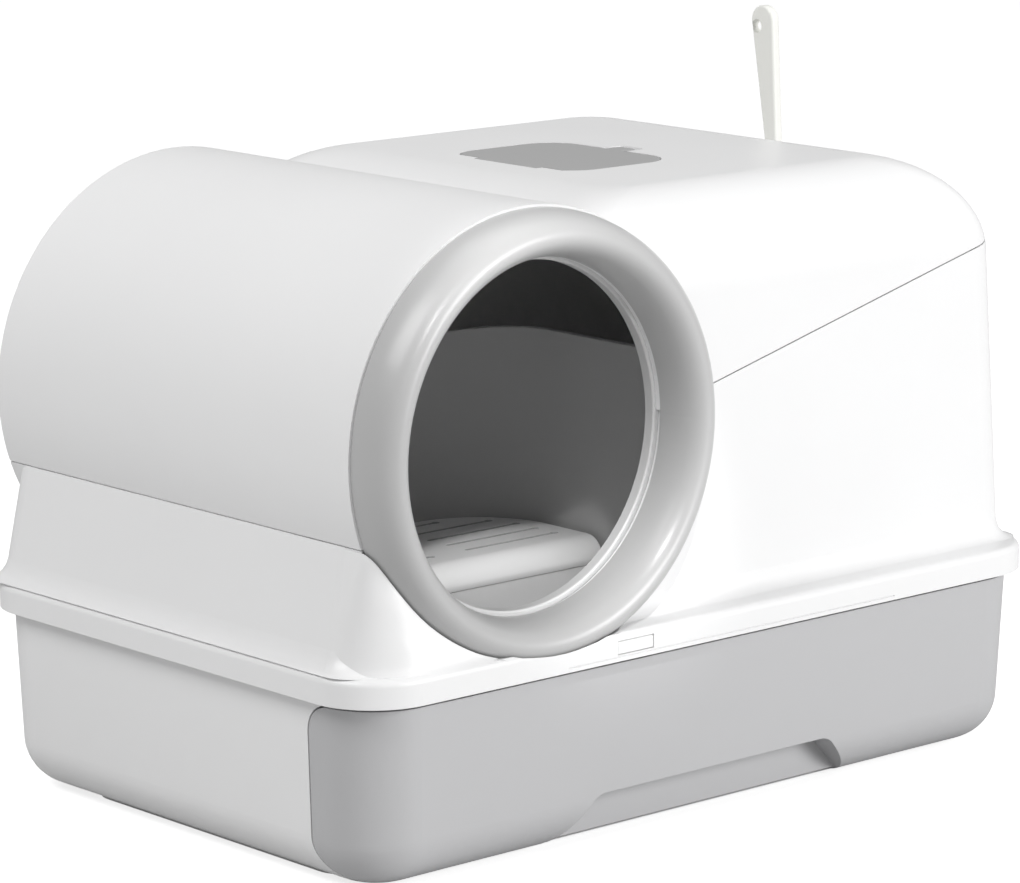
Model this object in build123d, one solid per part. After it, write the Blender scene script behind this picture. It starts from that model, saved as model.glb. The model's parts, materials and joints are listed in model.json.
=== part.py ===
from build123d import *
from math import acos, cos, pi, radians, sin, sqrt
import os

# Drawer litter box: base tub with a pull-out pan, lower hood, lift-off cover with a round
# tunnel entry, tread plate, deodoriser hatch and side scoop.
# Frame: millimetres, +X to the right along the drawer front, +Y towards the back, +Z up.
# The origin is the middle of the base's underside, below the middle of the rim.

# ---------------------------------------------------------------- driving dimensions
# rim and base
RIM_X, RIM_Y, RIM_R = 560.0, 370.0, 42.5      # skirt of the lower hood, plan size and corner
BASE_H = 112.5                                # floor to the underside of the skirt
SKIRT_H = 16.5
SKIRT_T = 3.0
SKIRT_ROUND = 4.0
BASE_INSET = 7.0                              # base wall behind the skirt's face
BASE_R, BASE_FOOT_R = 40.0, 30.0              # vertical corners, bottom edge
BASE_T = 3.0
BASE_SLOPE = 0.035                            # mm of draft per mm of height
BASE_LIP, BASE_LIP_H = 3.2, 5.0
PLINTH_X, PLINTH_Y0, PLINTH_Y1, PLINTH_H, PLINTH_R = 490.0, -122.0, 118.0, 2.0, 20.0
RAIL_Y0, RAIL_T, RAIL_TOP, NOTCH_X = -151.0, 5.0, 120.0, 78.0   # tie behind the notched front strip
# hood and cover
WALL = 3.0
HOOD_X = 271.5                                # half width at the ledge
HOOD_FRONT, HOOD_BACK = -161.0, 176.0         # wall positions at the ledge
HOOD_R = 20.0                                 # vertical corners
HOOD_SLOPE = 0.04
TOP_Z = 371.0
SIDE_R, FRONT_R, BACK_R, LEFT_R = 62.0, 54.0, 12.0, 150.0   # shoulders of the roof
DRUM_BACK_R = 18.0                            # rear edge of the tunnel
LEFT_FLAT = -13.0                             # where the roof starts to fall to the tunnel
WAIST_X, WAIST_Z = -258.2, 198.5              # pinch between the flared wall and the tunnel
FLARE_W, FLARE_H = 7.5, 12.5                  # foot of the wall where it meets the ledge
# tunnel and ring
TUN_X, TUN_Z, TUN_R = -134.0, 246.5, 133.0
RING_BACK = -157.0                            # plane where the ring meets the cover
RING_MID, RING_HALF, RING_DEEP, RING_T = 117.5, 14.0, 28.0, 2.5
SLEEVE_R, SLEEVE_T, SLEEVE_L = 101.0, 2.4, 10.0    # collar behind the ring
SLEEVE_RIM = 13.0
SADDLE_GAP, SADDLE_BACK_GAP, SADDLE_T = 1.4, 0.8, 1.9
# cradle of the ring: the hood's left front corner, swept forward towards the skirt
CHEEK_END, CHEEK_TOP_Y, CHEEK_REACH = -144.0, -164.5, 19.5
CHEEK_R_TOP, CHEEK_R_LOW, CHEEK_SINK = 9.0, 43.0, 1.3
# the seam between lower hood and cover slants, and is flatter behind the ring
SPLIT_Z, SPLIT_RISE, SPLIT_RISE_LEFT = 254.9, 0.2458, 0.19
SEAM = 0.8
# drawer
DRAWER_BACK = -126.0                          # where the front panel ends on the sides
DRAWER_TOP = 110.3
DRAWER_R_TOP, DRAWER_R_BOTTOM = 18.0, 30.0
PANEL_GAP, PANEL_T = 1.0, 3.0
PAN_X, PAN_FRONT, PAN_BACK = 257.0, -149.0, 168.0
PAN_TOP, PAN_T, PAN_R, PAN_FOOT_R = 100.0, 2.5, 34.0, 22.0
PAN_LIP = 4.0
RUNNER_X, RUNNER_W, RUNNER_H, RUNNER_L = 150.0, 14.0, 3.2, 270.0
PULL_TOP_X, PULL_LOW_X, PULL_Z, PULL_DEEP = 95.0, 126.0, 32.5, 22.0
PULL_LIP_Z = 5.6                              # lower edge of the finger pull's back wall
SLIP = 0.3                                    # running gap between sliding pieces
# entry well and tread plate
WELL_X0, WELL_X1, WELL_Y0, WELL_Y1 = -256.0, 45.0, -146.0, 118.0
WELL_T, WELL_R, WELL_FAR_R = 2.5, 16.0, 100.0
TREAD_X0, TREAD_X1, TREAD_Y0, TREAD_Y1 = -238.0, 39.0, -35.0, 74.0
TREAD_TOP, TREAD_T, TREAD_NOSE, TREAD_FAR_R = 142.5, 3.0, 13.0, 60.0
SLOT_L, SLOT_W, SLOT_PITCH, SLOT_ROWS = 76.0, 3.0, 17.6, 5
SLOT_END, SLOT_BRIDGE, SLOT_FIRST, SLOT_EYE_R = 25.5, 25.0, -7.5, 2.6
TREAD_EDGE_R = 2.5
# deodoriser hatch
HATCH_X, HATCH_Y = 55.0, 23.0                 # middle
HATCH_LX, HATCH_LY, HATCH_R, HATCH_T = 92.0, 113.0, 25.0, 3.0
HATCH_GAP = 0.7
TRAY_DEEP, TRAY_T, TRAY_LEDGE = 26.0, 1.8, 5.0
BARREL_R, HINGE_PIN_R, BARREL_L = 2.2, 0.9, 58.0
FIT = 0.08                                    # radial play of a hinge pin
TAB_L, TAB_W, TAB_T, LID_RELIEF = 12.0, 15.0, 2.0, 1.2
# scoop and its holder
SCOOP_X, SCOOP_Y = 273.8, 66.0                # back of the scoop, its middle
SCOOP_LOW, SCOOP_TOP = 149.0, 444.5
SCOOP_W, SCOOP_D, SCOOP_HEAD, SCOOP_T = 104.0, 24.0, 118.0, 2.4
SCOOP_LIP, SCOOP_SLOTS, SCOOP_SLOT_W = 6.0, 8, 6.0
HANDLE_W_TOP, HANDLE_W_LOW, HANDLE_T, HANDLE_LEAN = 20.0, 11.0, 7.0, 9.0
HANDLE_X, HANDLE_NECK_Z = 281.5, 354.0
HANG_R, HANG_DROP = 4.5, 14.0
HOLDER_H, HOLDER_T, HOLDER_GAP = 46.0, 2.5, 0.8
# snap tab in the front skirt
SNAP_X0, SNAP_X1, SNAP_Z0, SNAP_Z1, SNAP_GAP = -89.5, -61.0, 116.4, 124.7, 0.5
GROOVE_X0, GROOVE_X1, GROOVE_Z, GROOVE_W, GROOVE_DEEP = -128.0, 141.0, 115.2, 0.7, 0.6
SNAP_T, SNAP_PIN_R, SNAP_PIN_L, SNAP_RIB = 2.4, 0.7, 2.0, 0.9
# screws
SCREW_R, SCREW_HEAD_R, SCREW_HEAD_H = 1.9, 3.6, 2.2
BOSS_R = 4.6

LEDGE_Z = BASE_H + SKIRT_H
RIM_TOP = LEDGE_Z - SKIRT_T                   # underside of the ledge, where the base's rim ends
FAR = 900.0                                   # larger than the whole box

os.makedirs("parts", exist_ok=True)


# ---------------------------------------------------------------- shared shapes
def slab(x0, x1, y0, y1, z0, z1):
    return Pos((x0 + x1) / 2, (y0 + y1) / 2, (z0 + z1) / 2) * Box(x1 - x0, y1 - y0, z1 - z0)


def outline(x0, x1, y0, y1, z, r):
    """Rounded rectangle as a face at height z."""
    return Pos((x0 + x1) / 2, (y0 + y1) / 2, z) * RectangleRounded(x1 - x0, y1 - y0, r)


def prism(x0, x1, y0, y1, z0, z1, r):
    return extrude(outline(x0, x1, y0, y1, z0, r), z1 - z0)


def across(profile, x0, x1):
    """Extrude a profile drawn as (y, z) points along X."""
    return extrude(Plane.YZ.offset(x0) * profile, x1 - x0)


def along(profile, y0, y1):
    """Extrude a profile drawn as (x, z) points along Y."""
    return extrude(Plane.XZ.offset(-y1) * profile, y1 - y0)


def below_split(shift):
    """Everything below the seam plane, lowered by shift."""
    knee = SPLIT_Z - shift + SPLIT_RISE * TUN_X
    half = Polygon((-FAR, -FAR), (FAR, -FAR), (FAR, knee + SPLIT_RISE * (FAR - TUN_X)),
                   (TUN_X, knee), (-FAR, knee - SPLIT_RISE_LEFT * (TUN_X + FAR)), align=None)
    return along(half, -FAR, FAR)


def around_tunnel(profile):
    """Revolve a profile of (radius, y) points around the tunnel's axis."""
    turned = Plane(origin=(TUN_X, 0, TUN_Z), x_dir=(1, 0, 0), z_dir=(0, 0, 1)) * profile
    return revolve(turned, Axis((TUN_X, 0, TUN_Z), (0, 1, 0)))


def tube_band(r0, r1, y0, y1):
    """Ring of square section around the tunnel's axis."""
    return around_tunnel(Polygon((r0, y0), (r1, y0), (r1, y1), (r0, y1), align=None))


def ring_form(grow, back):
    """Half ellipse of the entry ring, grown all round, as a (radius, y) face, straight behind its widest."""
    face = Pos(RING_MID, RING_BACK) * Ellipse(RING_HALF + grow, RING_DEEP + grow)
    face &= Pos(RING_MID, RING_BACK - FAR / 2) * Rectangle(4 * RING_HALF, FAR)
    if back > RING_BACK:
        face += Pos(RING_MID, (RING_BACK + back) / 2) * Rectangle(2 * (RING_HALF + grow), back - RING_BACK)
    return face


# ---------------------------------------------------------------- base body
def base_outer(t, z0, z1):
    """Drafted tub with its rounded foot, t inside the outer skin."""
    def face(z):
        out = BASE_INSET + t + BASE_SLOPE * (BASE_H - z)
        x, y = RIM_X / 2 - out, RIM_Y / 2 - out
        return outline(-x, x, -y, y, z, BASE_R - t)
    body = loft([face(z0), face(z1)], ruled=True)
    return fillet(body.edges().group_by(Axis.Z)[0], BASE_FOOT_R - t)


def drawer_zone(grow):
    """Side view of the drawer front's outline, extruded across the box."""
    y1, z1 = DRAWER_BACK + grow, DRAWER_TOP + grow
    low = PLINTH_H - 2 * BASE_FOOT_R
    profile = Polygon((-FAR, low), (y1, low), (y1, z1), (-FAR, z1), align=None)
    top = profile.vertices().sort_by(Axis.X)[-2:].sort_by(Axis.Y)[-1]
    zone = across(fillet(top, DRAWER_R_TOP + grow), -FAR, FAR)
    foot_y, foot_z = y1 - DRAWER_R_BOTTOM, PLINTH_H + DRAWER_R_BOTTOM
    corner = slab(-FAR, FAR, foot_y, y1 + 1, low - 1, foot_z)
    round_foot = Pos(0, foot_y, foot_z) * Rot(0, 90, 0) * Cylinder(DRAWER_R_BOTTOM, 2 * FAR)
    return zone - (corner - round_foot)


def make_base():
    tub = base_outer(0, PLINTH_H, RIM_TOP) - base_outer(BASE_T, PLINTH_H + BASE_T, RIM_TOP + 60)
    x, y = RIM_X / 2 - BASE_INSET, RIM_Y / 2 - BASE_INSET
    lip = prism(-x - BASE_LIP, x + BASE_LIP, -y - BASE_LIP, y + BASE_LIP,
                RIM_TOP - BASE_LIP_H, RIM_TOP, BASE_R + BASE_LIP)
    lip -= prism(-x + 1, x - 1, -y + 1, y - 1, 0, FAR, BASE_R - 1)
    tub += lip
    tub -= drawer_zone(0)
    # the strip above the drawer is notched below the ring; a rail behind joins the two sides
    tub -= slab(TUN_X - NOTCH_X, TUN_X + NOTCH_X, -FAR, RAIL_Y0, BASE_T + DRAWER_TOP - DRAWER_R_TOP, FAR)
    tub += slab(-x + BASE_T / 2, x - BASE_T / 2, RAIL_Y0, RAIL_Y0 + RAIL_T, DRAWER_TOP + PANEL_GAP, RAIL_TOP)
    plinth = prism(-PLINTH_X / 2, PLINTH_X / 2, PLINTH_Y0, PLINTH_Y1, 0, PLINTH_H + 1, PLINTH_R)
    return tub + plinth


def make_runners():
    rails = []
    z0 = PLINTH_H + BASE_T
    for side in (-1, 1):
        rail = slab(side * RUNNER_X - RUNNER_W / 2, side * RUNNER_X + RUNNER_W / 2,
                    -RUNNER_L / 2, RUNNER_L / 2, z0, z0 + RUNNER_H)
        rails.append(fillet(rail.edges().filter_by(Axis.X).group_by(Axis.Z)[-1], RUNNER_H * 0.8))
    return Compound(children=rails)


# ---------------------------------------------------------------- drawer
PAN_Z = PLINTH_H + BASE_T + RUNNER_H + SLIP
SCREW_SPOTS = [(x, z) for x in (-190.0, 190.0) for z in (45.0, 82.0)]


def pull_form(grow):
    """Finger pull below the drawer front: a recess that widens towards its open foot."""
    slope = (PULL_LOW_X - PULL_TOP_X) / PULL_Z
    low, extra = -20.0, grow + 20.0 * slope
    face = Polygon((-PULL_LOW_X - extra, low), (PULL_LOW_X + extra, low),
                   (PULL_TOP_X + grow, PULL_Z + grow), (-PULL_TOP_X - grow, PULL_Z + grow), align=None)
    face = fillet(face.vertices().group_by(Axis.Y)[-1], 14.0 + grow)
    front = -(RIM_Y / 2 - BASE_INSET)
    return along(face, front - 30, front + PULL_DEEP + grow)


def make_drawer_front():
    skin = base_outer(0, PLINTH_H, DRAWER_TOP + 20)
    inner = base_outer(PANEL_T, PLINTH_H + PANEL_T, DRAWER_TOP + 60)
    zone = drawer_zone(-PANEL_GAP)
    panel = (skin - inner) & zone
    cup = (skin & zone) & pull_form(PANEL_T)
    panel = panel + cup - pull_form(0)
    pull_x, face_y = PULL_LOW_X - PANEL_T, -RIM_Y / 2
    panel -= slab(-pull_x, pull_x, face_y, face_y + BASE_INSET + 2 * PULL_DEEP,
                  0, PULL_LIP_Z)
    front = -(RIM_Y / 2 - BASE_INSET) + PANEL_T
    for x, z in SCREW_SPOTS:
        boss = Pos(x, (front + PAN_FRONT) / 2, z) * Rot(90, 0, 0) * Cylinder(BOSS_R, PAN_FRONT - front)
        bore = PAN_FRONT - front - 2 * PANEL_T
        panel = panel + boss - Pos(x, PAN_FRONT - bore / 2, z) * Rot(90, 0, 0) * Cylinder(SCREW_R, bore)
    return panel


def make_drawer_pan():
    def body(t, z0, z1):
        def face(z):
            out = t + BASE_SLOPE * (PAN_TOP - z)
            return outline(-PAN_X + out, PAN_X - out, PAN_FRONT + out, PAN_BACK - out, z, PAN_R - t)
        solid = loft([face(z0), face(z1)], ruled=True)
        return fillet(solid.edges().group_by(Axis.Z)[0], PAN_FOOT_R - t)
    lip = prism(-PAN_X - PAN_LIP, PAN_X + PAN_LIP, PAN_FRONT, PAN_BACK + PAN_LIP,
                PAN_TOP - PAN_T, PAN_TOP, PAN_R + PAN_LIP)
    pan = body(0, PAN_Z, PAN_TOP) + lip - body(PAN_T, PAN_Z + PAN_T, PAN_TOP + 40)
    for x, z in SCREW_SPOTS:
        pan -= Pos(x, PAN_FRONT, z) * Rot(90, 0, 0) * Cylinder(SCREW_R + 0.3, 20)
        # flat seat for the boss and the screw head on the drafted wall
        pan += Pos(x, PAN_FRONT + 2.6, z) * Rot(90, 0, 0) * (
            Cylinder(BOSS_R + 2, 5.2) - Cylinder(SCREW_R + 0.3, 20))
    return pan


def make_drawer_screws():
    screws = []
    for x, z in SCREW_SPOTS:
        y1 = PAN_FRONT + 5.2
        shank = Pos(x, y1 - 8, z) * Rot(90, 0, 0) * Cylinder(SCREW_R - 0.05, 16)
        head = Pos(x, y1 + SCREW_HEAD_H / 2, z) * Rot(90, 0, 0) * Cylinder(SCREW_HEAD_R, SCREW_HEAD_H)
        screws.append(shank + head)
    return Compound(children=screws)


# ---------------------------------------------------------------- hood and cover bodies
def wall_face(z, t, left, spread=0.0):
    """Plan outline of the hood's straight walls at height z."""
    lean = t + HOOD_SLOPE * (z - LEDGE_Z) - spread
    return outline(left + t - spread, HOOD_X - lean, HOOD_FRONT + lean, HOOD_BACK - lean, z, HOOD_R - t)


def roof_face(z, t):
    """Plan outline of the roof at height z: every side is drawn in by its own shoulder."""
    def reach(radius):
        rise = z - (TOP_Z - radius)
        return radius - t - sqrt((radius - t) ** 2 - rise ** 2) if rise > 0 else 0.0
    lean = t + HOOD_SLOPE * (z - LEDGE_Z)
    left = LEFT_FLAT - sqrt((LEFT_R - t) ** 2 - (z - TOP_Z + LEFT_R) ** 2)
    return outline(left, HOOD_X - lean - reach(SIDE_R), HOOD_FRONT + lean + reach(FRONT_R),
                   HOOD_BACK - lean - reach(BACK_R), z, HOOD_R - t)


def hood_body(t, z_low):
    """The whole hood as one filled form, t inside its outer skin."""
    eaves, brow = TOP_Z - SIDE_R, TOP_Z - BACK_R
    waist_left = WAIST_X
    low_left = -HOOD_X
    top = TOP_Z - t
    drop = (WAIST_Z - z_low) / (WAIST_Z - LEDGE_Z)
    foot = wall_face(z_low, t, waist_left + (low_left - waist_left) * drop)
    body = loft([foot, wall_face(WAIST_Z, t, waist_left)], ruled=True)
    body += loft([wall_face(WAIST_Z, t, waist_left), wall_face(eaves, t, TUN_X)], ruled=True)
    side = SIDE_R - t
    body += loft([roof_face(z, t) for z in
                  [eaves + side * sin(radians(a)) for a in (0, 14, 27, 40)] + [brow]])
    back = BACK_R - t
    body += loft([roof_face(brow + back * sin(radians(a)), t) for a in (0, 30, 60, 90)])
    # the tunnel, cut square at the front and to the wall's lean at the back
    low, high = z_low, top + 60

    def back_y(z):
        return HOOD_BACK - t - HOOD_SLOPE * (z - LEDGE_Z)
    gate = across(Polygon((RING_BACK + t, low), (back_y(low), low), (back_y(high), high),
                          (RING_BACK + t, high), align=None), -FAR, FAR)
    drum = Pos(TUN_X, 0, TUN_Z) * Rot(90, 0, 0) * Cylinder(TUN_R - t, FAR)
    tunnel = drum & gate
    if t == 0:
        tunnel = fillet(tunnel.edges().group_by(Axis.Y)[-1], DRUM_BACK_R)
    return body + tunnel


def hood_flare():
    """Hollow foot of the wall, swept out to the ledge."""
    def face(k):
        """k is the share of the flare's height above the ledge."""
        z = LEDGE_Z + FLARE_H * k
        spread = FLARE_W * (1 - sqrt(1 - (1 - k) ** 2))
        left = -HOOD_X + (WAIST_X + HOOD_X) * (z - LEDGE_Z) / (WAIST_Z - LEDGE_Z)
        return wall_face(z, 0, left, spread)
    return loft([face(k) for k in (0, 0.04, 0.18, 0.45, 1)])


def well_face(grow, z):
    """Plan outline of the entry well, with its one large corner at the far right."""
    x0, x1, y0, y1 = WELL_X0 - grow, WELL_X1 + grow, WELL_Y0 - grow, WELL_Y1 + grow
    face = Polygon((x0, y0), (x1, y0), (x1, y1), (x0, y1), align=None)
    far = face.vertices().group_by(Axis.X)[-1].sort_by(Axis.Y)[-1]
    face = fillet(far, WELL_FAR_R + grow)
    left = face.vertices().group_by(Axis.X)[0]
    return Pos(0, 0, z) * fillet(left, WELL_R + grow)


def rim_skirt():
    hx, hy = RIM_X / 2, RIM_Y / 2
    rim = prism(-hx, hx, -hy, hy, BASE_H, LEDGE_Z, RIM_R)
    rim = fillet(rim.edges().group_by(Axis.Z)[-1], SKIRT_ROUND)
    return rim - prism(-hx + SKIRT_T, hx - SKIRT_T, -hy + SKIRT_T, hy - SKIRT_T,
                       0, RIM_TOP, RIM_R - SKIRT_T)


SNAP_AXIS_Y = -RIM_Y / 2 + SKIRT_T / 2
SNAP_AXIS_Z = SNAP_Z1 - SNAP_GAP - SNAP_T / 2


def snap_bar(r, over):
    """Bar along the snap tab's pivot axis, longer than the tab by over at both ends."""
    length = SNAP_X1 - SNAP_X0 - 2 * SNAP_GAP + 2 * over
    return Pos((SNAP_X0 + SNAP_X1) / 2, SNAP_AXIS_Y, SNAP_AXIS_Z) * Rot(0, 90, 0) * Cylinder(r, length)


def make_snap_tab():
    """Release tab: a small plate on a round top edge with two pivot pins, ribbed behind its foot."""
    front = -RIM_Y / 2
    x0, x1, z0 = SNAP_X0 + SNAP_GAP, SNAP_X1 - SNAP_GAP, SNAP_Z0 + SNAP_GAP
    y0 = SNAP_AXIS_Y - SNAP_T / 2
    tab = slab(x0, x1, y0, y0 + SNAP_T, z0, SNAP_AXIS_Z) + snap_bar(SNAP_T / 2, 0)
    tab += slab(x0, x1, y0, y0 + SNAP_T + SNAP_RIB, z0, z0 + 2 * SNAP_RIB)
    tab += snap_bar(SNAP_PIN_R, SNAP_PIN_L)
    return tab - around_tunnel(ring_form(SADDLE_GAP + SADDLE_T + SNAP_GAP, RING_BACK)) \
        - slab(-FAR, FAR, -FAR, front, 0, FAR)


def cheek(t):
    """Cradle left of the ring, t inside its skin: its front falls in an S from the waist to the skirt."""
    def face(k):
        """k is the share of the height from the ledge to the waist."""
        z = LEDGE_Z - CHEEK_SINK + (WAIST_Z - LEDGE_Z) * k
        left = -HOOD_X + (WAIST_X + HOOD_X) * k
        front = CHEEK_TOP_Y - CHEEK_REACH * acos(2 * k - 1) / pi
        radius = CHEEK_R_LOW + (CHEEK_R_TOP - CHEEK_R_LOW) * k
        rear = CHEEK_TOP_Y + 4 * CHEEK_REACH
        return outline(left + t + SLIP, CHEEK_END - t, front + t, rear - t, z, radius - t)
    return loft([face(k) for k in (0, 0.05, 0.15, 0.3, 0.5, 0.7, 0.85, 0.95, 1)])


def make_lower_hood(outer, inner):
    hx, hy = RIM_X / 2, RIM_Y / 2
    rim = rim_skirt()
    outer_ledge = extrude(wall_face(LEDGE_Z, WALL / 2, -HOOD_X), -2 * SKIRT_T)
    skin = outer + cheek(0)
    # back of the saddle and its trough, inside the wall and the ledge only
    back = RING_BACK + SADDLE_BACK_GAP
    trough = around_tunnel(ring_form(SADDLE_GAP + SADDLE_T, back + SADDLE_T))
    lid = slab(-hx, hx, -hy + 0.5, HOOD_FRONT + 10, BASE_H - 4, LEDGE_Z)
    saddle = trough & (skin + lid)
    back_plate = tube_band(RING_MID - RING_HALF, RING_MID + RING_HALF + SADDLE_GAP + SADDLE_T,
                           back, back + SADDLE_T) & (skin + lid)
    hood = rim + (outer + hood_flare()) - inner
    hood = hood + cheek(0) - cheek(WALL) - inner
    # shelf inside the ledge that carries the entry well
    shelf = slab(-HOOD_X, WELL_X1, HOOD_FRONT, HOOD_BACK, RIM_TOP, LEDGE_Z)
    hood += (shelf & outer_ledge) - extrude(well_face(SLIP, 0), FAR)
    hood += saddle + back_plate
    hood -= around_tunnel(ring_form(SADDLE_GAP, back))
    bore = SLEEVE_R + SLEEVE_T + SADDLE_GAP
    hood -= tube_band(0, bore, -FAR, back + 3 * SADDLE_T)
    hood -= slab(TUN_X - bore, TUN_X + bore, -FAR, back + 3 * SADDLE_T, TUN_Z, FAR)
    # behind the plate that carries the ring, room for the sleeve's flange to lift
    hood -= tube_band(0, RING_MID + RING_HALF, back + SADDLE_T, RING_BACK + 2 * SLEEVE_L)
    hood -= slab(SNAP_X0, SNAP_X1, -hy - 1, -hy + SKIRT_T, SNAP_Z0, SNAP_Z1) - saddle
    hood -= snap_bar(SNAP_PIN_R + FIT, SNAP_PIN_L + SNAP_GAP)
    hood -= slab(GROOVE_X0, GROOVE_X1, -hy - 1, -hy + GROOVE_DEEP,
                 GROOVE_Z - GROOVE_W / 2, GROOVE_Z + GROOVE_W / 2)
    for y in HOLDER_SCREW_Y:
        hood -= Pos(HOOD_X, y, HOLDER_SCREW_Z) * Rot(0, 90, 0) * Cylinder(SCREW_R, 40)
    hood &= below_split(0)
    # the trough leaves a loose sliver in the cheek, which is dropped
    return hood.solids().sort_by(SortBy.VOLUME)[-1]


HOLDER_SCREW_Y = (SCOOP_Y - 30.0, SCOOP_Y + 30.0)
HOLDER_SCREW_Z = SCOOP_LOW + HOLDER_H / 2


def make_upper_cover(outer, inner):
    cover = outer - inner - below_split(-SEAM)
    cover -= tube_band(0, RING_MID - RING_HALF, -FAR, RING_BACK + 2 * WALL)
    cover -= around_tunnel(ring_form(SLIP, RING_BACK))
    for x, z in RING_SCREW_SPOTS:
        cover -= Pos(x, RING_BACK, z) * Rot(90, 0, 0) * Cylinder(SCREW_R + 0.2, 4 * WALL)
    # frame of the hatch: thickened roof, seat for the lid and the tray's rim, opening
    frame = hatch_form(4, TOP_Z - HATCH_SEAT - WALL, TOP_Z - WALL / 2)
    tab_x = HATCH_X + HATCH_LX / 2
    frame += slab(tab_x, tab_x + TAB_L + 8, HATCH_Y - TAB_W, HATCH_Y + TAB_W,
                  TOP_Z - HATCH_SEAT - WALL, TOP_Z - WALL / 2)
    cover += frame
    cover -= hatch_form(HATCH_GAP, TOP_Z - HATCH_SEAT, FAR)
    cover -= hatch_form(-TRAY_LEDGE, 0, FAR)
    cover -= prism(tab_x - 8, tab_x + TAB_L + 4, HATCH_Y - TAB_W / 2 - 3, HATCH_Y + TAB_W / 2 + 3,
                   TOP_Z - TAB_T - 1.2, FAR, 3)
    for side in (-1, 1):
        cover += hinge_lug(side)
    return cover - hinge_bar(HINGE_PIN_R + 0.02, BARREL_L + 12)


# ---------------------------------------------------------------- entry well and tread plate
def make_entry_well():
    floor_z = RIM_TOP
    rim_z = LEDGE_Z + WELL_T
    solid = extrude(well_face(0, floor_z - WELL_T), FAR / 2)
    cavity = extrude(well_face(-WELL_T, floor_z), FAR)
    well = (solid - cavity) & below_split(2 * SEAM)
    # only the right and rear walls rise to the seam; the others stop at the hanging rim
    well -= slab(-FAR, WELL_X0 + WELL_R, -FAR, FAR, rim_z, FAR)
    well -= slab(-FAR, WELL_X1 - WELL_T, -FAR, WELL_Y0 + WELL_R, rim_z, FAR)
    rim = extrude(well_face(4, LEDGE_Z), WELL_T) - extrude(well_face(-WELL_T / 2, 0), FAR)
    well += rim - slab(WELL_X1 - 1, FAR, -FAR, FAR, 0, FAR)
    windows = 3
    span = (TREAD_X1 - TREAD_X0 - 40) / windows
    for i in range(windows):
        x0 = TREAD_X0 + 20 + i * span
        well -= prism(x0 + 5, x0 + span - 5, TREAD_Y0 + 20, TREAD_Y1 - 20, 0, floor_z + 1, 6)
    return well


def tread_face(grow):
    x0, x1, y0, y1 = TREAD_X0 - grow, TREAD_X1 + grow, TREAD_Y0 - grow, TREAD_Y1 + grow
    face = Polygon((x0, y0), (x1, y0), (x1, y1), (x0, y1), align=None)
    rear = face.vertices().group_by(Axis.Y)[-1]
    face = fillet(rear.sort_by(Axis.X)[-1], TREAD_FAR_R + grow)
    return fillet(face.vertices().group_by(Axis.X)[0].sort_by(Axis.Y)[-1], WELL_R + grow)


def tread_slots():
    """Rows of slots along X; the far rows stop short at the plate's round corner."""
    slots = []
    for row in range(SLOT_ROWS):
        y = SLOT_FIRST + row * SLOT_PITCH
        reach = (TREAD_FAR_R - 10) ** 2 - max(0.0, y - TREAD_Y1 + TREAD_FAR_R) ** 2
        end = min(SLOT_END, TREAD_X1 - TREAD_FAR_R + sqrt(max(reach, 25)))
        start = SLOT_END - SLOT_L
        while end > TREAD_X0 + 30:
            start = max(start, TREAD_X0 + 12)
            slot = Pos((start + end) / 2, y, TREAD_TOP) * SlotOverall(end - start, SLOT_W)
            slots.append(extrude(slot, TREAD_T + 2, both=True))
            slots.append(Pos(end - SLOT_EYE_R, y, TREAD_TOP) * Cylinder(SLOT_EYE_R, 2 * TREAD_T + 4))
            end = start - SLOT_BRIDGE
            start = end - SLOT_L
    return slots


def make_tread_plate():
    def form(t, z0, z1):
        body = extrude(Pos(0, 0, z0) * tread_face(-t), z1 - z0)
        nose = body.edges().filter_by(Axis.X).group_by(Axis.Z)[-1].sort_by(Axis.Y)[0]
        return fillet(nose, TREAD_NOSE - t)
    low = RIM_TOP + SLIP
    plate = form(0, low, TREAD_TOP)
    plate = fillet([e for e in plate.edges() if e.center().Z > TREAD_TOP - 0.5
                    and e.center().Y > TREAD_Y0 + TREAD_NOSE + 1], TREAD_EDGE_R)
    plate -= form(TREAD_T, low - 20, TREAD_TOP - TREAD_T)
    for slot in tread_slots():
        plate -= slot
    return plate


# ---------------------------------------------------------------- ring and sleeve
RING_SCREW_R = SLEEVE_R + SLEEVE_T + SLEEVE_RIM - 5.0
RING_SCREW_SPOTS = [(TUN_X + RING_SCREW_R * cos(radians(a)), TUN_Z + RING_SCREW_R * sin(radians(a)))
                    for a in (20, 55, 90, 125, 160)]


def make_entry_ring():
    skin = ring_form(0, RING_BACK) - ring_form(-RING_T, RING_BACK + 1)
    ring = around_tunnel(skin)
    for x, z in RING_SCREW_SPOTS:
        stub = Pos(x, RING_BACK - RING_DEEP / 2, z) * Rot(90, 0, 0) * Cylinder(BOSS_R - 0.6, RING_DEEP)
        hole = Pos(x, RING_BACK - 6, z) * Rot(90, 0, 0) * Cylinder(SCREW_R, 12)
        ring += stub & around_tunnel(ring_form(0, RING_BACK))
        ring -= hole
    return ring


def make_entry_sleeve():
    r0, r1 = SLEEVE_R, SLEEVE_R + SLEEVE_T
    rim_y = RING_BACK + WALL
    profile = Polygon((r0, rim_y), (r1 + SLEEVE_RIM, rim_y), (r1 + SLEEVE_RIM, rim_y + SLEEVE_T),
                      (r1, rim_y + SLEEVE_T), (r1, RING_BACK + SLEEVE_L), (r0, RING_BACK + SLEEVE_L),
                      align=None)
    lip = profile.vertices().sort_by(Axis.X)[:2].sort_by(Axis.Y)[0]
    sleeve = around_tunnel(fillet(lip, SLEEVE_T / 2))
    for x, z in RING_SCREW_SPOTS:
        sleeve -= Pos(x, RING_BACK, z) * Rot(90, 0, 0) * Cylinder(SCREW_R + 0.2, 8 * WALL)
    return sleeve


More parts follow.
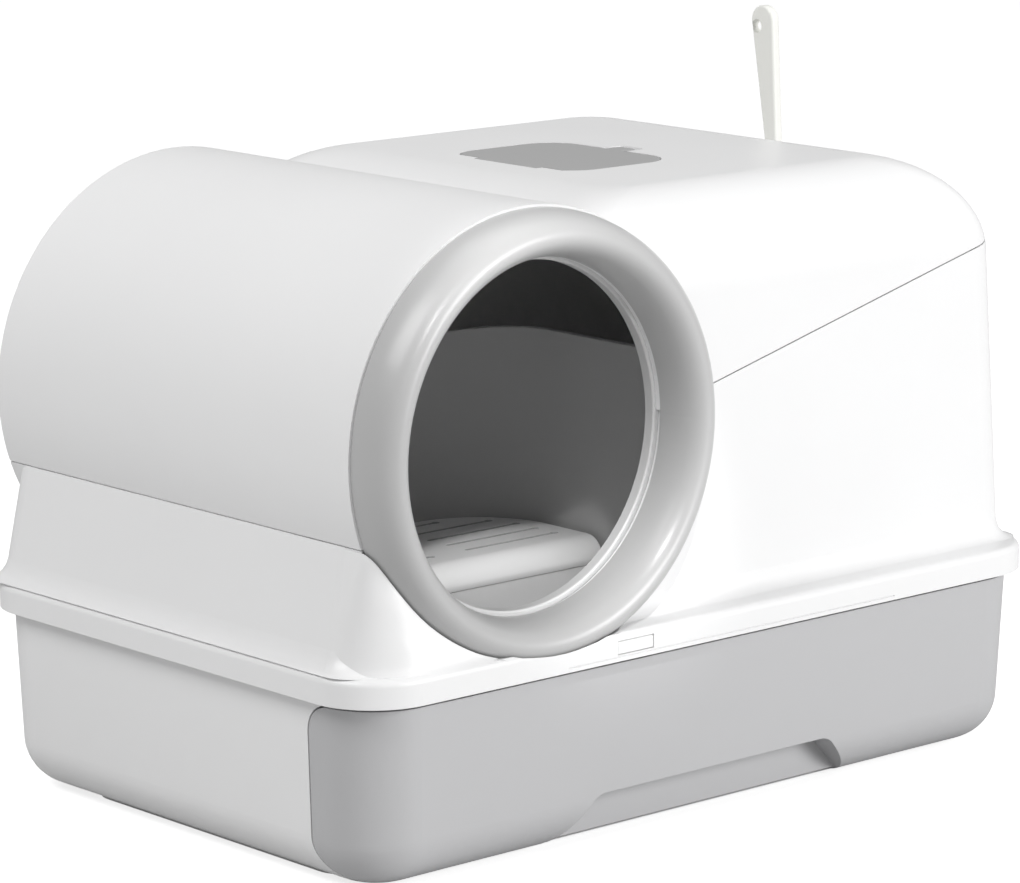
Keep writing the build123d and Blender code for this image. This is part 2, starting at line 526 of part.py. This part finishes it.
def make_ring_screws():
    screws = []
    seat = RING_BACK + WALL + SLEEVE_T
    for x, z in RING_SCREW_SPOTS:
        shank = Pos(x, seat - 7, z) * Rot(90, 0, 0) * Cylinder(SCREW_R - 0.05, 14)
        head = Pos(x, seat + SCREW_HEAD_H / 2, z) * Rot(90, 0, 0) * Cylinder(SCREW_HEAD_R, SCREW_HEAD_H)
        screws.append(shank + head)
    return Compound(children=screws)


# ---------------------------------------------------------------- deodoriser hatch
HATCH_SEAT = HATCH_T + 1.6                    # depth of the seat for lid and tray rim
HINGE_X = HATCH_X - HATCH_LX / 2 + BARREL_R
HINGE_Z = TOP_Z - BARREL_R


def hatch_form(grow, z0, z1):
    x, y = HATCH_LX / 2 + grow, HATCH_LY / 2 + grow
    return prism(HATCH_X - x, HATCH_X + x, HATCH_Y - y, HATCH_Y + y, z0, z1, HATCH_R + grow)


def hinge_bar(r, length):
    return Pos(HINGE_X, HATCH_Y, HINGE_Z) * Rot(90, 0, 0) * Cylinder(r, length)


def hinge_lug(side):
    """Land that carries the pin's end and fills the seat beside the lid's barrel."""
    y0 = HATCH_Y + side * (BARREL_L / 2 + SLIP)
    y1 = HATCH_Y + side * HATCH_LY / 2
    land = slab(HINGE_X - 2 * BARREL_R, HINGE_X + BARREL_R, min(y0, y1), max(y0, y1),
                TOP_Z - HATCH_SEAT - 1, TOP_Z)
    return land & hatch_form(2 * HATCH_GAP, 0, FAR)


def make_hatch_lid():
    lid = hatch_form(0, TOP_Z - HATCH_T, TOP_Z)
    lid = fillet(lid.edges().group_by(Axis.Z)[-1], 0.8)
    x1 = HATCH_X + HATCH_LX / 2
    tab = prism(x1 - 6, x1 + TAB_L, HATCH_Y - TAB_W / 2, HATCH_Y + TAB_W / 2, TOP_Z - TAB_T, TOP_Z, 3)
    lid += fillet(tab.edges().group_by(Axis.Z)[-1], 0.6)
    half = BARREL_L / 2
    lid -= slab(-FAR, HINGE_X, -FAR, FAR, 0, FAR)
    # beside the barrel the lid starts later, so that its edge clears the lands as it turns
    for y0, y1 in ((-FAR, HATCH_Y - half), (HATCH_Y + half, FAR)):
        lid -= slab(-FAR, HINGE_X + BARREL_R + LID_RELIEF, y0, y1, 0, FAR)
    return lid + hinge_bar(BARREL_R, BARREL_L) - hinge_bar(HINGE_PIN_R + FIT, BARREL_L + 1)


def make_hatch_tray():
    seat = TOP_Z - HATCH_SEAT
    rim = hatch_form(-SLIP, seat, seat + 1.3)
    rim -= slab(-FAR, HINGE_X + BARREL_R + 0.8, -FAR, FAR, 0, FAR)
    cup = hatch_form(-TRAY_LEDGE - SLIP, seat - TRAY_DEEP, seat + 1.3)
    tray = rim + cup - hatch_form(-TRAY_LEDGE - SLIP - TRAY_T, seat - TRAY_DEEP + TRAY_T, FAR)
    tray -= slab(-FAR, HINGE_X + BARREL_R + 0.8, -FAR, FAR, seat + 0.01, FAR)
    for i in range(-3, 4):
        slot = Pos(HATCH_X, HATCH_Y + i * 11, 0) * SlotOverall(58, 4)
        tray -= extrude(slot, seat - TRAY_DEEP + TRAY_T + 1)
    return tray


def make_charcoal_pad():
    seat = TOP_Z - HATCH_SEAT
    low = seat - TRAY_DEEP + TRAY_T
    pad = hatch_form(-TRAY_LEDGE - SLIP - TRAY_T - 0.6, low, low + 16)
    return fillet(pad.edges().group_by(Axis.Z)[-1], 3)


def make_hatch_pin():
    return hinge_bar(HINGE_PIN_R, BARREL_L + 7)


# ---------------------------------------------------------------- scoop and holder
def make_scoop():
    x0, x1 = SCOOP_X, SCOOP_X + SCOOP_D
    z0, z1 = SCOOP_LOW, SCOOP_LOW + SCOOP_HEAD
    y0, y1 = SCOOP_Y - SCOOP_W / 2, SCOOP_Y + SCOOP_W / 2
    side = Polygon((x0, z0), (x0 + SCOOP_LIP, z0), (x1, z0 + SCOOP_HEAD * 0.6), (x1, z1), (x0, z1),
                   align=None)
    head = along(side, y0, y1)
    uprights = head.edges().filter_by(Axis.X)
    head = fillet(uprights.group_by(Axis.Z)[-1], 18)
    room = slab(x0 + SCOOP_T, FAR, y0 + SCOOP_T, y1 - SCOOP_T, -FAR, z1 - SCOOP_T)
    room = fillet(room.edges().filter_by(Axis.X).group_by(Axis.Z)[-1], 18 - SCOOP_T)
    head -= room
    pitch = (SCOOP_W - 12) / SCOOP_SLOTS
    for i in range(SCOOP_SLOTS):
        y = SCOOP_Y + (i - (SCOOP_SLOTS - 1) / 2) * pitch
        slot = Plane.YZ.offset(x0 - 1) * Pos(y, z0 + SCOOP_HEAD * 0.46) * Rot(0, 0, 90) * \
            SlotOverall(SCOOP_HEAD * 0.66, SCOOP_SLOT_W)
        head -= extrude(slot, SCOOP_T + 2)
    return head + make_handle(z1)


def make_handle(root_z):
    """Flat handle that widens and leans back upwards from its neck, with a round top."""
    low, top, r = HANDLE_W_LOW / 2, SCOOP_Y + HANDLE_LEAN, HANDLE_W_TOP / 2
    foot_z, neck_z = root_z + 30, HANDLE_NECK_Z
    with BuildLine() as edge:
        l1 = Line((SCOOP_Y - 3 * low, root_z - 6), (SCOOP_Y - low, foot_z))
        l2 = Line(l1 @ 1, (SCOOP_Y - low, neck_z))
        l3 = Line(l2 @ 1, (top - r, SCOOP_TOP - r))
        l4 = ThreePointArc(l3 @ 1, (top, SCOOP_TOP), (top + r, SCOOP_TOP - r))
        l5 = Line(l4 @ 1, (SCOOP_Y + low, neck_z))
        l6 = Line(l5 @ 1, (SCOOP_Y + low, foot_z))
        l7 = Line(l6 @ 1, (SCOOP_Y + 3 * low, root_z - 6))
        Line(l7 @ 1, l1 @ 0)
    handle = extrude(Plane.YZ.offset(HANDLE_X) * make_face(edge.edges()), HANDLE_T)
    mid = HANDLE_X + HANDLE_T / 2
    rim = [e for e in handle.edges() if e.center().Z > foot_z and abs(e.center().X - mid) > 1]
    handle = fillet(rim, 2.0)
    return handle - Pos(HANDLE_X, top + 4.6, SCOOP_TOP - HANG_DROP) * Rot(0, 90, 0) * \
        Cylinder(HANG_R, 4 * HANDLE_T)


def make_scoop_holder(outer):
    x1 = SCOOP_X + SCOOP_D + HOLDER_GAP
    y0, y1 = SCOOP_Y - SCOOP_W / 2 - HOLDER_GAP, SCOOP_Y + SCOOP_W / 2 + HOLDER_GAP
    floor_z = SCOOP_LOW - SLIP
    block = slab(HOOD_X - 20, x1 + HOLDER_T, y0 - HOLDER_T, y1 + HOLDER_T,
                 floor_z - HOLDER_T, SCOOP_LOW + HOLDER_H)
    block = fillet(block.edges().filter_by(Axis.Z).group_by(Axis.X)[-1], 10)
    pocket = slab(SCOOP_X - SLIP, x1, y0, y1, floor_z, FAR)
    pocket = fillet(pocket.edges().filter_by(Axis.Z).group_by(Axis.X)[-1], 10 - HOLDER_T)
    holder = block - outer - pocket
    # window in the outer wall
    holder -= slab(SCOOP_X + SCOOP_LIP + 6, FAR, y0 + 22, y1 - 22, floor_z + 12, FAR)
    for y in HOLDER_SCREW_Y:
        holder -= Pos(HOOD_X, y, HOLDER_SCREW_Z) * Rot(0, 90, 0) * Cylinder(SCREW_R + 0.2, 40)
        seat = Cylinder(SCREW_HEAD_R + 0.2, 4)
        holder -= Pos(SCOOP_X - SLIP - 2, y, HOLDER_SCREW_Z) * Rot(0, 90, 0) * seat
    return holder


def make_holder_screws():
    screws = []
    x1 = SCOOP_X - SLIP - 0.2
    for y in HOLDER_SCREW_Y:
        head = Pos(x1 - SCREW_HEAD_H / 2, y, HOLDER_SCREW_Z) * Rot(0, 90, 0) * \
            Cylinder(SCREW_HEAD_R, SCREW_HEAD_H)
        shank = Pos(x1 - 6, y, HOLDER_SCREW_Z) * Rot(0, 90, 0) * Cylinder(SCREW_R - 0.05, 12)
        screws.append(head + shank)
    return Compound(children=screws)


# ---------------------------------------------------------------- build
def main():
    outer = hood_body(0, LEDGE_Z)
    inner = hood_body(WALL, BASE_H - 10)
    nodes = {
        "base_tub": make_base(),
        "drawer_runners": make_runners(),
        "drawer_pan": make_drawer_pan(),
        "drawer_front": make_drawer_front(),
        "drawer_screws": make_drawer_screws(),
        "lower_hood": make_lower_hood(outer, inner),
        "snap_tab": make_snap_tab(),
        "entry_well": make_entry_well(),
        "tread_plate": make_tread_plate(),
        "upper_cover": make_upper_cover(outer, inner),
        "entry_ring": make_entry_ring(),
        "entry_sleeve": make_entry_sleeve(),
        "ring_screws": make_ring_screws(),
        "hatch_lid": make_hatch_lid(),
        "hatch_tray": make_hatch_tray(),
        "charcoal_pad": make_charcoal_pad(),
        "hatch_pin": make_hatch_pin(),
        "scoop_holder": make_scoop_holder(outer),
        "holder_screws": make_holder_screws(),
        "scoop": make_scoop(),
    }
    for name, shape in nodes.items():
        export_step(shape, f"parts/{name}.step")
        print(name, len(shape.solids()), round(shape.volume / 1000, 1))


main()
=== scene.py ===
import json
import math

import bpy
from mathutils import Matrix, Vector

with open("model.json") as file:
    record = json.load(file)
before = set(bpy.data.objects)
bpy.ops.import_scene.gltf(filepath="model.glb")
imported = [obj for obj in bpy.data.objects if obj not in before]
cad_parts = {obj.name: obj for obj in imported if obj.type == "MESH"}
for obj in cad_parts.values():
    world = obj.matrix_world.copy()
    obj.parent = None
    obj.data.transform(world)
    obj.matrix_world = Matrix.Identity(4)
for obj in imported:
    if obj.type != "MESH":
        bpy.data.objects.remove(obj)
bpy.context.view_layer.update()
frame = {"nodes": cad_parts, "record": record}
nodes = frame["nodes"]
scene = bpy.context.scene

MM = 0.001

# ------------------------------------------------------------------ look of each slot
# base colour (linear), roughness, grain height in mm, grain size in mm
LOOKS = {
    "white_plastic": ((0.82, 0.82, 0.822), 0.34, 0.010, 1.2),
    "grey_plastic": ((0.490, 0.490, 0.498), 0.46, 0.020, 0.8),
    "pan_plastic": ((0.520, 0.520, 0.520), 0.46, 0.020, 0.8),
    "ring_plastic": ((0.470, 0.470, 0.470), 0.30, 0.008, 1.2),
    "sleeve_plastic": ((0.560, 0.560, 0.560), 0.38, 0.008, 1.2),
    "well_plastic": ((0.460, 0.460, 0.460), 0.48, 0.020, 0.9),
    "tread_plastic": ((0.700, 0.700, 0.700), 0.42, 0.014, 0.8),
    "lid_plastic": ((0.385, 0.385, 0.385), 0.42, 0.014, 0.8),
    "tray_plastic": ((0.400, 0.400, 0.400), 0.46, 0.014, 0.8),
    "scoop_plastic": ((0.830, 0.832, 0.795), 0.38, 0.010, 1.0),
    "runner_plastic": ((0.700, 0.700, 0.690), 0.30, 0.006, 1.0),
}
PLASTIC_IOR = 1.49
DRIFT_SCALE = 9.0  # broad patches, per metre
DRIFT_DETAIL = 3.0
TONE_RANGE = (0.985, 1.015)  # times the base colour
GLOSS_RANGE = (-0.03, 0.04)  # added to the roughness
GRAIN_DETAIL = 2.0
GRAIN_STRENGTH = 0.35
EDGE_RADIUS = 0.45 * MM
EDGE_SAMPLES = 6
PAINTED_SHADE_SLOTS = ("tread_plastic",)  # materials whose slots and narrow gaps get painted shade in their base colour
# how far the painted shade reaches into slots and gaps
PAINTED_SHADE_REACH = 6 * MM

STEEL_COLOR = (0.55, 0.55, 0.54, 1.0)
STEEL_ROUGHNESS = (0.28, 0.48)
STREAK_SCALE = 900.0  # per metre
STREAK_STRETCH = (1.0, 0.05, 1.0)

FELT_DARK = (0.006, 0.006, 0.007, 1.0)
FELT_LIGHT = (0.040, 0.040, 0.042, 1.0)
FELT_ROUGHNESS = 0.95
FELT_SHEEN = 0.25
FELT_RELIEF = 0.5 * MM
FIBRE_SCALE = 700.0  # per metre
FIBRE_DETAIL = 6.0
FIBRE_TWIST = 1.8

SLOT_OF = {s["node"]: s["material_slot"] for s in frame["record"]["subparts"]}
SHARP_ANGLE = math.radians(32)


def new_material(name):
    """A material with nodes: itself, its node tree and its shader."""
    mat = bpy.data.materials.new(name)
    mat.use_nodes = True
    return mat, mat.node_tree, mat.node_tree.nodes["Principled BSDF"]


def add_node(tree, kind, values=None):
    """A new node of a kind, with values set on the inputs that they name."""
    node = tree.nodes.new(kind)
    for socket, value in (values or {}).items():
        node.inputs[socket].default_value = value
    return node


def add_range(tree, source, low, high):
    """The source's 0 to 1, spread from low to high."""
    spread = add_node(tree, "ShaderNodeMapRange", {"To Min": low, "To Max": high})
    tree.links.new(source, spread.inputs["Value"])
    return spread.outputs["Result"]


def plastic(name, color, rough, grain_height, grain_size):
    """Moulded plastic: faint tone drift, uneven gloss and a fine spark-eroded grain."""
    mat, tree, bsdf = new_material(name)
    bsdf.inputs["IOR"].default_value = PLASTIC_IOR
    coords = add_node(tree, "ShaderNodeTexCoord")

    drift = add_node(tree, "ShaderNodeTexNoise", {"Scale": DRIFT_SCALE, "Detail": DRIFT_DETAIL})
    tree.links.new(coords.outputs["Object"], drift.inputs["Vector"])
    tint = add_node(tree, "ShaderNodeMix")
    tint.data_type = "RGBA"
    tint.blend_type = "MULTIPLY"
    tint.inputs["Factor"].default_value = 1.0
    tint.inputs["A"].default_value = (*color, 1.0)
    tree.links.new(add_range(tree, drift.outputs["Fac"], *TONE_RANGE), tint.inputs["B"])
    base = tint.outputs["Result"]
    if name in PAINTED_SHADE_SLOTS:
        # painted shade: ambient occlusion darkens the base colour in slots and narrow gaps in place
        # of their shadow
        painted_shade = add_node(tree, "ShaderNodeAmbientOcclusion", {"Distance": PAINTED_SHADE_REACH})
        tree.links.new(base, painted_shade.inputs["Color"])
        base = painted_shade.outputs["Color"]
    tree.links.new(base, bsdf.inputs["Base Color"])

    glossy, matte = (rough + step for step in GLOSS_RANGE)
    tree.links.new(add_range(tree, drift.outputs["Fac"], glossy, matte), bsdf.inputs["Roughness"])

    grain = add_node(
        tree, "ShaderNodeTexNoise", {"Scale": 1.0 / (grain_size * MM), "Detail": GRAIN_DETAIL}
    )
    tree.links.new(coords.outputs["Object"], grain.inputs["Vector"])
    edge = add_node(tree, "ShaderNodeBevel", {"Radius": EDGE_RADIUS})
    edge.samples = EDGE_SAMPLES
    bump = add_node(
        tree, "ShaderNodeBump", {"Strength": GRAIN_STRENGTH, "Distance": grain_height * MM}
    )
    tree.links.new(edge.outputs["Normal"], bump.inputs["Normal"])
    tree.links.new(grain.outputs["Fac"], bump.inputs["Height"])
    tree.links.new(bump.outputs["Normal"], bsdf.inputs["Normal"])
    return mat


def steel(name):
    """Zinc-plated steel of the screws and the pin, with fine streaks along Y."""
    mat, tree, bsdf = new_material(name)
    bsdf.inputs["Base Color"].default_value = STEEL_COLOR
    bsdf.inputs["Metallic"].default_value = 1.0
    coords = add_node(tree, "ShaderNodeTexCoord")
    stretch = add_node(tree, "ShaderNodeMapping", {"Scale": STREAK_STRETCH})
    streak = add_node(tree, "ShaderNodeTexNoise", {"Scale": STREAK_SCALE})
    tree.links.new(coords.outputs["Object"], stretch.inputs["Vector"])
    tree.links.new(stretch.outputs["Vector"], streak.inputs["Vector"])
    rough = add_range(tree, streak.outputs["Fac"], *STEEL_ROUGHNESS)
    tree.links.new(rough, bsdf.inputs["Roughness"])
    return mat


def felt(name):
    """Matted carbon fibre: very dark, rough, with lumps between the fibres."""
    mat, tree, bsdf = new_material(name)
    bsdf.inputs["Roughness"].default_value = FELT_ROUGHNESS
    bsdf.inputs["Sheen Weight"].default_value = FELT_SHEEN
    coords = add_node(tree, "ShaderNodeTexCoord")
    fibre = add_node(
        tree,
        "ShaderNodeTexNoise",
        {"Scale": FIBRE_SCALE, "Detail": FIBRE_DETAIL, "Distortion": FIBRE_TWIST},
    )
    ramp = add_node(tree, "ShaderNodeValToRGB")
    ramp.color_ramp.elements[0].color = FELT_DARK
    ramp.color_ramp.elements[1].color = FELT_LIGHT
    bump = add_node(tree, "ShaderNodeBump", {"Distance": FELT_RELIEF})
    tree.links.new(coords.outputs["Object"], fibre.inputs["Vector"])
    tree.links.new(fibre.outputs["Fac"], ramp.inputs["Fac"])
    tree.links.new(ramp.outputs["Color"], bsdf.inputs["Base Color"])
    tree.links.new(fibre.outputs["Fac"], bump.inputs["Height"])
    tree.links.new(bump.outputs["Normal"], bsdf.inputs["Normal"])
    return mat


materials = {slot: plastic(slot, *look) for slot, look in LOOKS.items()}
materials["screw_steel"] = steel("screw_steel")
materials["pin_steel"] = steel("pin_steel")
materials["charcoal_felt"] = felt("charcoal_felt")

for name, piece in nodes.items():
    piece.data.materials.clear()
    piece.data.materials.append(materials[SLOT_OF[name]])
    for face in piece.data.polygons:
        face.use_smooth = True
    piece.data.set_sharp_from_angle(angle=SHARP_ANGLE)

# ------------------------------------------------------------------ floor
FLOOR_SIZE = 60.0
FLOOR_DROP = 0.2 * MM  # keeps the floor clear of the base's underside
FLOOR_COLOR = (0.60, 0.60, 0.60, 1.0)
FLOOR_ROUGHNESS = 0.9
FLOOR_GLOW = 0.75
WHITE = (1.0, 1.0, 1.0, 1.0)


def floor_look():
    """Pale floor that glows for the camera alone, so it looks white and lights the object little."""
    mat, tree, bsdf = new_material("floor")
    bsdf.inputs["Base Color"].default_value = FLOOR_COLOR
    bsdf.inputs["Roughness"].default_value = FLOOR_ROUGHNESS
    bsdf.inputs["Emission Color"].default_value = WHITE
    path = add_node(tree, "ShaderNodeLightPath")
    glow = add_node(tree, "ShaderNodeMath")
    glow.operation = "MULTIPLY"
    glow.inputs[1].default_value = FLOOR_GLOW
    tree.links.new(path.outputs["Is Camera Ray"], glow.inputs[0])
    tree.links.new(glow.outputs["Value"], bsdf.inputs["Emission Strength"])
    return mat


bpy.ops.mesh.primitive_plane_add(size=FLOOR_SIZE, location=(0.0, 0.0, -FLOOR_DROP))
floor = bpy.context.object
floor.name = "floor"
floor.data.materials.append(floor_look())

# ------------------------------------------------------------------ light
# places in metres, powers in watts
SKY_STRENGTH = 0.35
LAMP_TARGET = (0.0, 0.0, 0.2)
# name, place, width and height, power
LAMPS = (
    ("key", (1.25, -3.2, 1.1), (1.6, 1.6), 88.0),
    ("high_left", (-2.1, 0.1, 2.6), (1.6, 1.6), 51.0),
    ("top", (0.5, 0.4, 3.0), (2.0, 1.6), 16.0),
)
SPOT_PLACE = (-0.62, -0.95, 1.12)
SPOT_TARGET = (-0.090, -0.130, 0.200)
SPOT_POWER = 88.0
SPOT_CONE = math.radians(7.6)
SPOT_BLEND = 0.6
SPOT_RADIUS = 0.05


def put_light(data, place, target):
    """Stands a light at a place, turned to its target."""
    light = bpy.data.objects.new(data.name, data)
    scene.collection.objects.link(light)
    light.location = place
    aim = Vector(target) - Vector(place)
    light.rotation_euler = aim.to_track_quat("-Z", "Y").to_euler()


world = bpy.data.worlds.new("studio")
scene.world = world
world.use_nodes = True
sky = world.node_tree.nodes["Background"]
sky.inputs["Color"].default_value = WHITE
sky.inputs["Strength"].default_value = SKY_STRENGTH

for name, place, size, power in LAMPS:
    lamp = bpy.data.lights.new(name, "AREA")
    lamp.shape = "RECTANGLE"
    lamp.size, lamp.size_y = size
    lamp.energy = power
    put_light(lamp, place, LAMP_TARGET)

# a narrow spot that falls steeply through the entry, onto the well's floor and the tread plate
spot = bpy.data.lights.new("entry_spot", "SPOT")
spot.energy = SPOT_POWER
spot.spot_size = SPOT_CONE
spot.spot_blend = SPOT_BLEND
spot.shadow_soft_size = SPOT_RADIUS
put_light(spot, SPOT_PLACE, SPOT_TARGET)

# ------------------------------------------------------------------ camera
AZIMUTH, ELEVATION = 41.85, 11.46  # degrees
CAMERA_PLACE = (-1.8356, -2.0413, 0.7585)
SENSOR_WIDTH, LENS = 36.0, 161.0  # mm
VIEW_REACH = 100.0

camera_data = bpy.data.cameras.new("camera")
camera_data.sensor_width = SENSOR_WIDTH
camera_data.lens = LENS
camera_data.clip_end = VIEW_REACH
camera = bpy.data.objects.new("camera", camera_data)
camera.location = CAMERA_PLACE
camera.rotation_euler = (math.radians(90.0 - ELEVATION), 0.0, math.radians(-AZIMUTH))
scene.collection.objects.link(camera)
scene.camera = camera
scene.view_settings.view_transform = "Standard"
